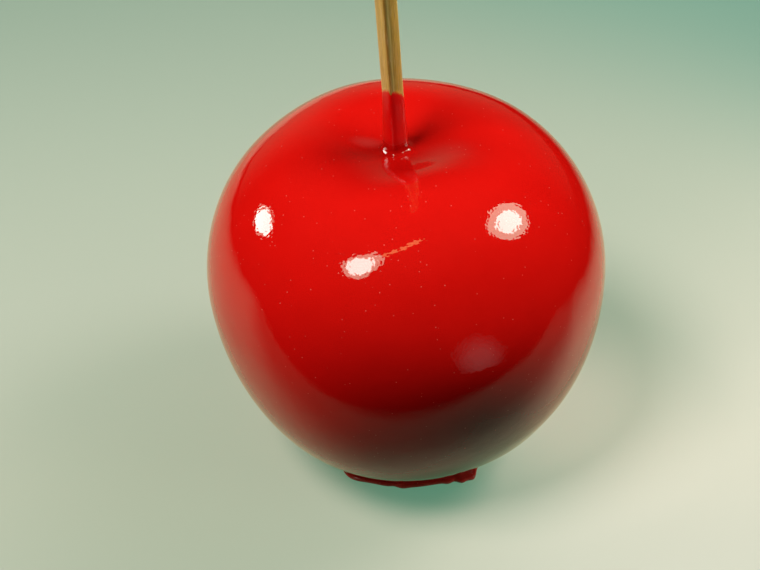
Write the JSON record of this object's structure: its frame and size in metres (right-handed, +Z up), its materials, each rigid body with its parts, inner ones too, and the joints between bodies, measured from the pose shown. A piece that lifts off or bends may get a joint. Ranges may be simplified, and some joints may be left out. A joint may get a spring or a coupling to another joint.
{
  "type": "toffee apple",
  "caption": "Whole apple in a glossy red toffee coat, on a square bamboo stick, standing on a flat ragged foot of set toffee.",
  "frame": {"origin": "middle of the base of the bounding box, on the surface that the foot stands on", "axes": "+Z up, roughly along the stick, which leans 4 degrees towards -X; -Y is the side shown"},
  "size_m": [0.0781, 0.078, 0.1649],
  "materials": {
    "red_toffee": "clear glossy red toffee, faint orange peel in the gloss, tiny bubbles",
    "bamboo": "sawn bamboo with fine dark fibres along its length"
  },
  "bodies": {
    "root": {"toffee_apple": "red_toffee", "stick": "bamboo"}
  },
  "joints": []
}
